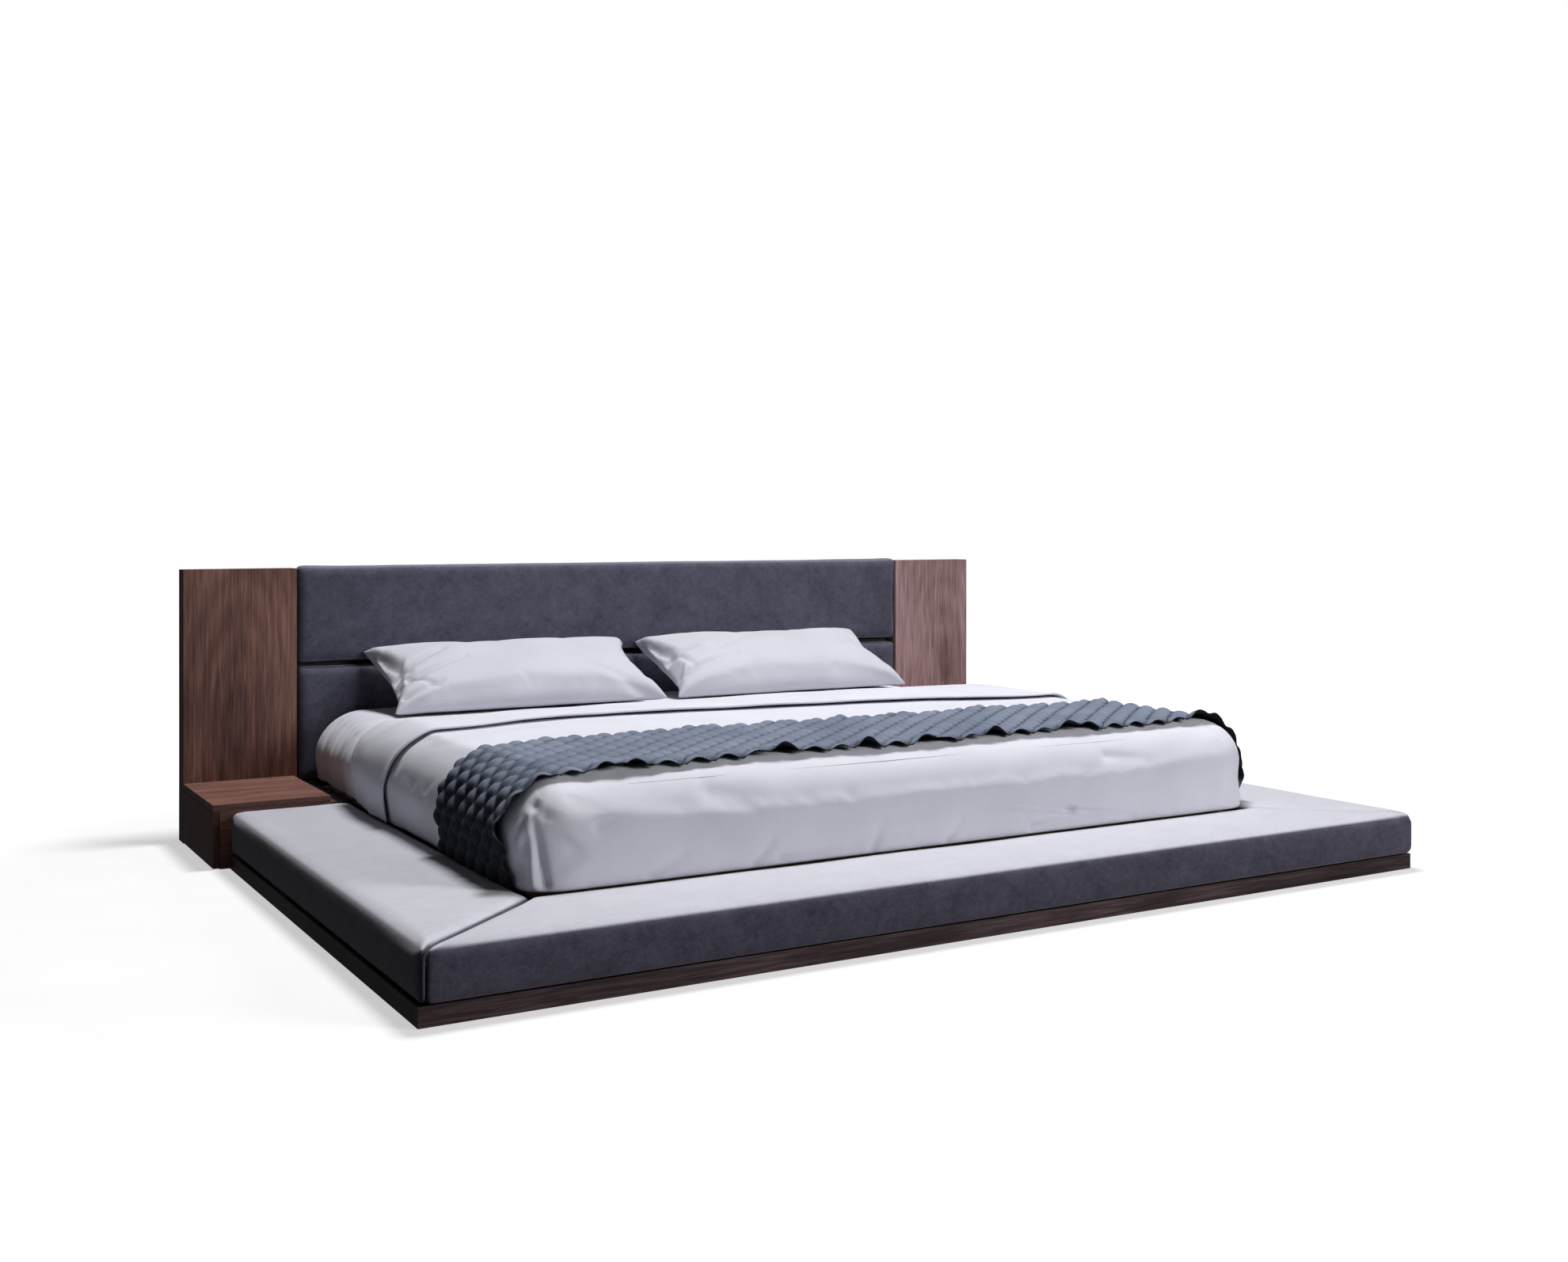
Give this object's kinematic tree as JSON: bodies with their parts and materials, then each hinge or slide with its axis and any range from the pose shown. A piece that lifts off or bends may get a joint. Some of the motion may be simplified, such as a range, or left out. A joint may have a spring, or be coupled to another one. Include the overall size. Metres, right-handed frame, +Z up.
{
  "type": "platform bed",
  "caption": "Low platform bed with an upholstered surround, walnut-winged padded headboard, bedside tables with side-opening drawers, and bedding.",
  "frame": {"origin": "centre of the footprint on the floor", "axes": "+X to the right as seen from the foot end, +Y towards the headboard, +Z up"},
  "size_m": [2.86, 2.46, 0.846],
  "materials": {
    "dark_walnut_veneer": "dark stained walnut veneer, satin",
    "walnut_veneer": "walnut veneer, satin lacquer",
    "plywood": "bare plywood and softwood",
    "black_board": "black stained board",
    "beech_slats": "lacquered beech",
    "drawer_birch": "lacquered birch plywood",
    "slate_suede": "slate grey suede-like upholstery with a short nap",
    "linen": "pale lavender-grey smooth cotton",
    "quilted_blue": "slate-blue quilted cotton",
    "mattress_ticking": "white knitted ticking",
    "zinc_steel": "zinc plated",
    "grey_painted_steel": "grey powder coat",
    "black_plastic": "moulded black plastic",
    "foot_rubber": "black rubber"
  },
  "bodies": {
    "frame": {"plinth_front": "dark_walnut_veneer", "plinth_left": "dark_walnut_veneer", "plinth_right": "dark_walnut_veneer", "corner_brackets": "zinc_steel", "bracket_screws": "zinc_steel", "ledge_front": "black_board", "ledge_left": "black_board", "ledge_right": "black_board", "ledge_bearers": "plywood", "pad_front": "slate_suede", "pad_left": "slate_suede", "pad_right": "slate_suede", "rail_left": "black_board", "rail_right": "black_board", "rail_foot": "black_board", "rail_head": "black_board", "rail_bolts": "zinc_steel", "ledger_left": "black_board", "ledger_right": "black_board", "centre_beam": "plywood", "centre_legs": "grey_painted_steel", "leg_feet": "foot_rubber", "slats_left": "beech_slats", "slats_right": "beech_slats", "slat_end_caps": "black_plastic", "wing_left": "walnut_veneer", "wing_right": "walnut_veneer", "headboard_back": "black_board", "headboard_posts": "plywood", "headboard_battens": "plywood", "wing_brackets": "zinc_steel", "cushion_upper": "slate_suede", "cushion_lower": "slate_suede", "table_top_left": "walnut_veneer", "table_top_right": "walnut_veneer", "table_front_left": "walnut_veneer", "table_front_right": "walnut_veneer", "table_inner_left": "walnut_veneer", "table_inner_right": "walnut_veneer", "table_bottom_left": "plywood", "table_bottom_right": "plywood", "table_cap_left": "black_board", "table_cap_right": "black_board", "slide_fixed_left": "zinc_steel", "slide_fixed_right": "zinc_steel", "push_latches": "black_plastic"},
    "drawer_left": {"drawer_front_left": "walnut_veneer", "drawer_box_left": "drawer_birch", "drawer_bottom_left": "drawer_birch", "slide_moving_left": "zinc_steel"},
    "drawer_right": {"drawer_front_right": "walnut_veneer", "drawer_box_right": "drawer_birch", "drawer_bottom_right": "drawer_birch", "slide_moving_right": "zinc_steel"},
    "mattress_body": {"mattress": "mattress_ticking", "flat_sheet": "linen"},
    "duvet_body": {"duvet": "linen"},
    "runner_body": {"quilted_runner": "quilted_blue"},
    "pillow_left_body": {"pillow_left": "linen"},
    "pillow_right_body": {"pillow_right": "linen"}
  },
  "joints": [
    {"name": "drawer_left_slide", "type": "slide", "parent": "frame", "child": "drawer_left", "axis": [-1, 0, 0], "range_m": [0, 0.22]},
    {"name": "drawer_right_slide", "type": "slide", "parent": "frame", "child": "drawer_right", "axis": [1, 0, 0], "range_m": [0, 0.22]},
    {"name": "mattress_lift", "type": "slide", "parent": "frame", "child": "mattress_body", "axis": [0, 0, 1], "range_m": [0, 0.25]},
    {"name": "duvet_lift", "type": "slide", "parent": "mattress_body", "child": "duvet_body", "axis": [0, 0, 1], "range_m": [0, 0.27]},
    {"name": "runner_lift", "type": "slide", "parent": "duvet_body", "child": "runner_body", "axis": [0, 0, 1], "range_m": [0, 0.26]},
    {"name": "pillow_left_lift", "type": "slide", "parent": "mattress_body", "child": "pillow_left_body", "axis": [0, 0, 1], "range_m": [0, 0.25]},
    {"name": "pillow_right_lift", "type": "slide", "parent": "mattress_body", "child": "pillow_right_body", "axis": [0, 0, 1], "range_m": [0, 0.25]}
  ]
}
